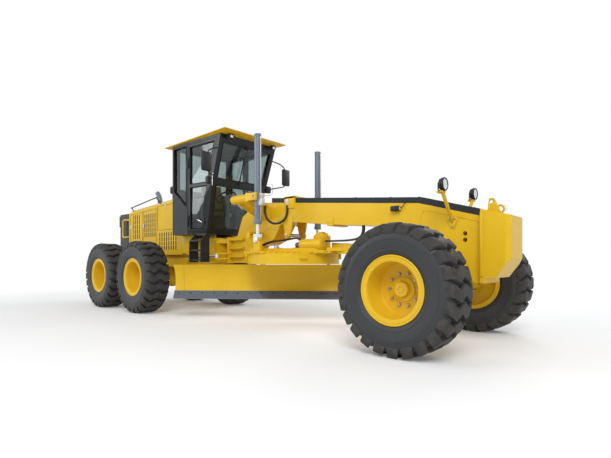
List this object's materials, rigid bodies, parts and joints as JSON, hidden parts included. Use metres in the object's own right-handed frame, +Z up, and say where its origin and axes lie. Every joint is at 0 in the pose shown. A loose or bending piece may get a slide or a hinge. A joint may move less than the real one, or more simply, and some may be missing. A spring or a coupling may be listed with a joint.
{
  "type": "motor grader",
  "caption": "Articulated motor grader with a long hollow-faced blade on a turning circle, a gooseneck front frame, leaning steered front wheels, tandem rear wheels and a glazed cab.",
  "frame": {"origin": "on the ground under the middle of the machine, straight ahead and with the wheels upright", "axes": "+X forward, +Y to the left, +Z up"},
  "size_m": [8.9698, 2.6451, 3.205],
  "materials": {
    "paint": "satin",
    "roof_paint": "satin",
    "dark_paint": "satin",
    "cover": "matte",
    "tyre": "matte",
    "rim": "satin",
    "chrome": "polished",
    "slate": "satin",
    "glass": "clear",
    "seat": "matte",
    "console": "matte",
    "lamp": "gloss",
    "mirror": "gloss",
    "engine": "matte",
    "edge": "satin"
  },
  "bodies": {
    "rear": {"rear_frame": "paint", "hood": "paint", "radiator_guard": "dark_paint", "engine": "engine", "stacks": "dark_paint", "handrails": "paint", "tandem_axle": "paint", "cab_frame": "dark_paint", "cab_roof": "roof_paint", "cab_glass": "glass", "seat": "seat", "console": "console", "mirrors": "mirror", "cab_lamps": "lamp", "ladders": "dark_paint"},
    "door_right": {"door_right": "dark_paint", "door_glass_right": "glass"},
    "door_left": {"door_left": "dark_paint", "door_glass_left": "glass"},
    "front": {"front_frame": "paint", "hose_cover": "cover", "counterweight": "paint", "headlamps": "lamp", "saddle": "paint", "front_axle": "paint"},
    "lean_right": {"lean_cross_right": "slate"},
    "lean_left": {"lean_cross_left": "slate"},
    "steer_right": {"knuckle_right": "paint"},
    "steer_left": {"knuckle_left": "paint"},
    "tie_ball": {"tie_rod_ball": "slate"},
    "tie_rod": {"tie_rod": "slate"},
    "lean_bar": {"lean_bar": "slate"},
    "drawbar": {"drawbar": "paint", "circle_drive": "paint"},
    "circle": {"circle": "paint"},
    "blade": {"moldboard": "paint", "cutting_edge": "edge"},
    "wheel_front_right": {"rim_front_right": "rim", "tyre_front_right": "tyre"},
    "wheel_tandem_right_1": {"rim_tandem_right_1": "rim", "tyre_tandem_right_1": "tyre"},
    "wheel_tandem_right_2": {"rim_tandem_right_2": "rim", "tyre_tandem_right_2": "tyre"},
    "wheel_front_left": {"rim_front_left": "rim", "tyre_front_left": "tyre"},
    "wheel_tandem_left_1": {"rim_tandem_left_1": "rim", "tyre_tandem_left_1": "tyre"},
    "wheel_tandem_left_2": {"rim_tandem_left_2": "rim", "tyre_tandem_left_2": "tyre"},
    "lift_barrel_right": {"lift_barrel_right": "slate"},
    "lift_rod_right": {"lift_rod_right": "chrome"},
    "articulation_barrel_right": {"articulation_barrel_right": "slate"},
    "articulation_rod_right": {"articulation_rod_right": "chrome"},
    "lift_barrel_left": {"lift_barrel_left": "slate"},
    "lift_rod_left": {"lift_rod_left": "chrome"},
    "articulation_barrel_left": {"articulation_barrel_left": "slate"},
    "articulation_rod_left": {"articulation_rod_left": "chrome"}
  },
  "joints": [
    {"name": "articulation", "type": "hinge", "parent": "rear", "child": "front", "pos_m": [-0.43, 0, 1.16], "axis": [0, 0, 1], "range_deg": [-25, 25]},
    {"name": "door_right_open", "type": "hinge", "parent": "rear", "child": "door_right", "pos_m": [-0.853, -0.698, 2.2], "axis": [0, 0, -1], "range_deg": [0, 80]},
    {"name": "door_left_open", "type": "hinge", "parent": "rear", "child": "door_left", "pos_m": [-0.853, 0.698, 2.2], "axis": [0, 0, 1], "range_deg": [0, 80]},
    {"name": "wheel_lean", "type": "hinge", "parent": "front", "child": "lean_right", "pos_m": [3.68, -0.76, 0.675], "axis": [1, 0, 0], "range_deg": [-18, 18]},
    {"name": "wheel_lean_left", "type": "hinge", "parent": "front", "child": "lean_left", "pos_m": [3.68, 0.76, 0.675], "axis": [1, 0, 0], "range_deg": [-18, 18]},
    {"name": "steering", "type": "hinge", "parent": "lean_right", "child": "steer_right", "pos_m": [3.68, -0.76, 0.675], "axis": [0, 0, 1], "range_deg": [-45, 45]},
    {"name": "steering_left", "type": "hinge", "parent": "lean_left", "child": "steer_left", "pos_m": [3.68, 0.76, 0.675], "axis": [0, 0, 1], "range_deg": [-45, 45]},
    {"name": "tie_rod_swivel", "type": "hinge", "parent": "steer_right", "child": "tie_ball", "pos_m": [3.46, -0.76, 0.485], "axis": [0, 0, 1], "range_deg": [-45, 45]},
    {"name": "tie_rod_tilt", "type": "hinge", "parent": "tie_ball", "child": "tie_rod", "pos_m": [3.46, -0.76, 0.485], "axis": [1, 0, 0], "range_deg": [-18, 18]},
    {"name": "lean_bar_tilt", "type": "hinge", "parent": "lean_right", "child": "lean_bar", "pos_m": [3.68, -0.76, 0.905], "axis": [1, 0, 0], "range_deg": [-18, 18]},
    {"name": "wheel_front_right_spin", "type": "hinge", "parent": "steer_right", "child": "wheel_front_right", "pos_m": [3.68, -1.0775, 0.675], "axis": [0, 1, 0], "continuous": true},
    {"name": "wheel_tandem_right_1_spin", "type": "hinge", "parent": "rear", "child": "wheel_tandem_right_1", "pos_m": [-1.811, -1.0775, 0.675], "axis": [0, 1, 0], "continuous": true},
    {"name": "wheel_tandem_right_2_spin", "type": "hinge", "parent": "rear", "child": "wheel_tandem_right_2", "pos_m": [-3.349, -1.0775, 0.675], "axis": [0, 1, 0], "continuous": true},
    {"name": "wheel_front_left_spin", "type": "hinge", "parent": "steer_left", "child": "wheel_front_left", "pos_m": [3.68, 1.0775, 0.675], "axis": [0, 1, 0], "continuous": true},
    {"name": "wheel_tandem_left_1_spin", "type": "hinge", "parent": "rear", "child": "wheel_tandem_left_1", "pos_m": [-1.811, 1.0775, 0.675], "axis": [0, 1, 0], "continuous": true},
    {"name": "wheel_tandem_left_2_spin", "type": "hinge", "parent": "rear", "child": "wheel_tandem_left_2", "pos_m": [-3.349, 1.0775, 0.675], "axis": [0, 1, 0], "continuous": true},
    {"name": "blade_lift", "type": "hinge", "parent": "front", "child": "drawbar", "pos_m": [3.42, 0, 1.08], "axis": [0, 1, 0], "range_deg": [-20, 2.4]},
    {"name": "circle_turn", "type": "hinge", "parent": "drawbar", "child": "circle", "pos_m": [1.14, 0, 1], "axis": [0, 0, 1], "continuous": true},
    {"name": "blade_shift", "type": "slide", "parent": "circle", "child": "blade", "axis": [-0.788, -0.6157, 0], "range_m": [-0.5, 0.5]},
    {"name": "lift_barrel_right_tilt", "type": "hinge", "parent": "front", "child": "lift_barrel_right", "pos_m": [1.06, -0.697, 1.94], "axis": [0, 1, 0], "range_deg": [-3, 1]},
    {"name": "lift_rod_right_slide", "type": "slide", "parent": "lift_barrel_right", "child": "lift_rod_right", "axis": [0, 0, 1], "range_m": [-0.84, 0.12]},
    {"name": "articulation_barrel_right_turn", "type": "hinge", "parent": "rear", "child": "articulation_barrel_right", "pos_m": [-1.25, -0.4, 1.064], "axis": [0, 0, 1], "range_deg": [-3, 3]},
    {"name": "articulation_rod_right_slide", "type": "slide", "parent": "articulation_barrel_right", "child": "articulation_rod_right", "axis": [1, 0, 0], "range_m": [-0.18, 0.18]},
    {"name": "lift_barrel_left_tilt", "type": "hinge", "parent": "front", "child": "lift_barrel_left", "pos_m": [1.06, 0.697, 1.94], "axis": [0, 1, 0], "range_deg": [-3, 1]},
    {"name": "lift_rod_left_slide", "type": "slide", "parent": "lift_barrel_left", "child": "lift_rod_left", "axis": [0, 0, 1], "range_m": [-0.84, 0.12]},
    {"name": "articulation_barrel_left_turn", "type": "hinge", "parent": "rear", "child": "articulation_barrel_left", "pos_m": [-1.25, 0.4, 1.064], "axis": [0, 0, 1], "range_deg": [-3, 3]},
    {"name": "articulation_rod_left_slide", "type": "slide", "parent": "articulation_barrel_left", "child": "articulation_rod_left", "axis": [1, 0, 0], "range_m": [-0.18, 0.18]}
  ],
  "couplings": [
    {"joint": "wheel_lean_left", "follows": "wheel_lean", "ratio": 1},
    {"joint": "steering_left", "follows": "steering", "ratio": 1},
    {"joint": "tie_rod_swivel", "follows": "steering", "ratio": -1},
    {"joint": "tie_rod_tilt", "follows": "wheel_lean", "ratio": -1},
    {"joint": "lean_bar_tilt", "follows": "wheel_lean", "ratio": -1},
    {"joint": "lift_barrel_right_tilt", "follows": "blade_lift", "ratio": 0.09},
    {"joint": "lift_rod_right_slide", "follows": "blade_lift", "m_per_rad": 2.354},
    {"joint": "articulation_barrel_right_turn", "follows": "articulation", "ratio": 0.047},
    {"joint": "articulation_rod_right_slide", "follows": "articulation", "m_per_rad": 0.3894},
    {"joint": "lift_barrel_left_tilt", "follows": "blade_lift", "ratio": 0.09},
    {"joint": "lift_rod_left_slide", "follows": "blade_lift", "m_per_rad": 2.354},
    {"joint": "articulation_barrel_left_turn", "follows": "articulation", "ratio": 0.047},
    {"joint": "articulation_rod_left_slide", "follows": "articulation", "m_per_rad": -0.3894}
  ]
}
